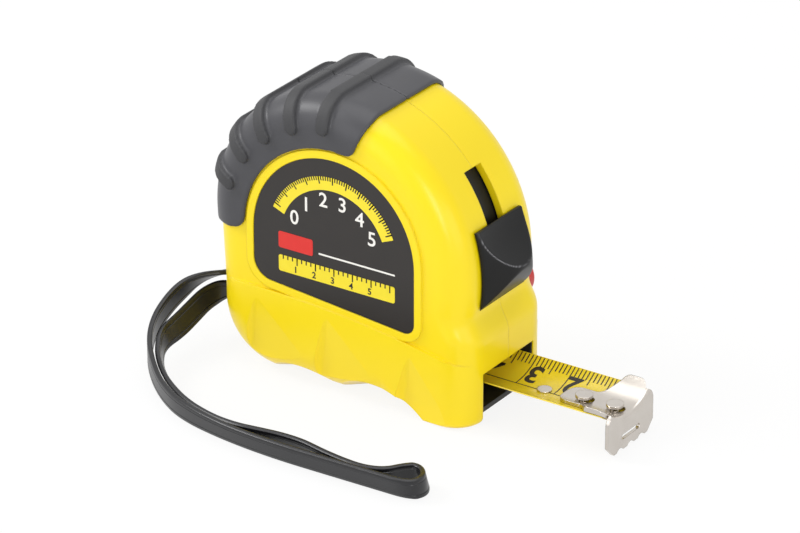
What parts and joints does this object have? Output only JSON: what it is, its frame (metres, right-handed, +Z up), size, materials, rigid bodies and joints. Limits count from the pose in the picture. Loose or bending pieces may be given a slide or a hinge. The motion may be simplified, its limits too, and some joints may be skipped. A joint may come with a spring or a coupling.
{
  "type": "pocket tape measure",
  "caption": "Pocket tape measure: split plastic case with rubber grip, spring reel, curved steel blade with sliding end hook, thumb lock, side stop, belt clip and wrist strap.",
  "frame": {"origin": "on the base, under the middle of the case's length, in the split plane of the two case halves", "axes": "+X along the blade towards the hook, +Y away from the label side towards the belt clip, +Z up from the base"},
  "size_m": [0.1116, 0.0718, 0.0725],
  "materials": {
    "yellow_abs": "satin",
    "grey_rubber": "matte",
    "label_print": "satin",
    "black_plastic": "matte",
    "reel_plastic": "matte",
    "red_plastic": "satin",
    "stop_rubber": "matte",
    "blade_coat": "satin",
    "nickel_steel": "satin",
    "spring_steel": "satin",
    "clip_steel": "polished",
    "strap_vinyl": "satin"
  },
  "bodies": {
    "case": {"case_left": "yellow_abs", "case_right": "yellow_abs", "grip_left": "grey_rubber", "grip_right": "grey_rubber", "label": "label_print", "mouth_guide": "black_plastic", "spindle": "nickel_steel", "case_screws": "nickel_steel", "strap_pin": "nickel_steel", "wrist_strap": "strap_vinyl", "belt_clip": "clip_steel", "belt_clip_screw": "nickel_steel", "stop_spring": "spring_steel"},
    "reel": {"reel_drum": "reel_plastic", "spring_cover": "reel_plastic", "power_spring": "spring_steel", "tape_coil": "blade_coat"},
    "blade": {"blade": "blade_coat", "blade_rivet": "nickel_steel", "hook_rivets": "nickel_steel"},
    "hook": {"hook": "nickel_steel"},
    "lock": {"lock_slider": "black_plastic"},
    "stop": {"stop_button": "red_plastic", "stop_pad": "stop_rubber"}
  },
  "joints": [
    {"name": "reel_spin", "type": "hinge", "parent": "case", "child": "reel", "pos_m": [-0.0015, 0, 0.037], "axis": [0, 1, 0], "range_deg": [-42, 67.9]},
    {"name": "blade_slide", "type": "slide", "parent": "case", "child": "blade", "axis": [1, 0, 0], "range_m": [-0.03, 0.0187]},
    {"name": "hook_float", "type": "slide", "parent": "blade", "child": "hook", "axis": [1, 0, 0], "range_m": [-0.001, 0]},
    {"name": "lock_slide", "type": "hinge", "parent": "case", "child": "lock", "pos_m": [-0.0035, 0, 0.0335], "axis": [0, -1, 0], "range_deg": [0, 21]},
    {"name": "stop_press", "type": "slide", "parent": "case", "child": "stop", "axis": [0, -1, 0], "range_m": [0, 0.0013], "stiffness_N_per_m": 400, "deforming": ["stop_spring"]}
  ],
  "couplings": [
    {"joint": "blade_slide", "follows": "reel_spin", "m_per_rad": -0.02528}
  ]
}
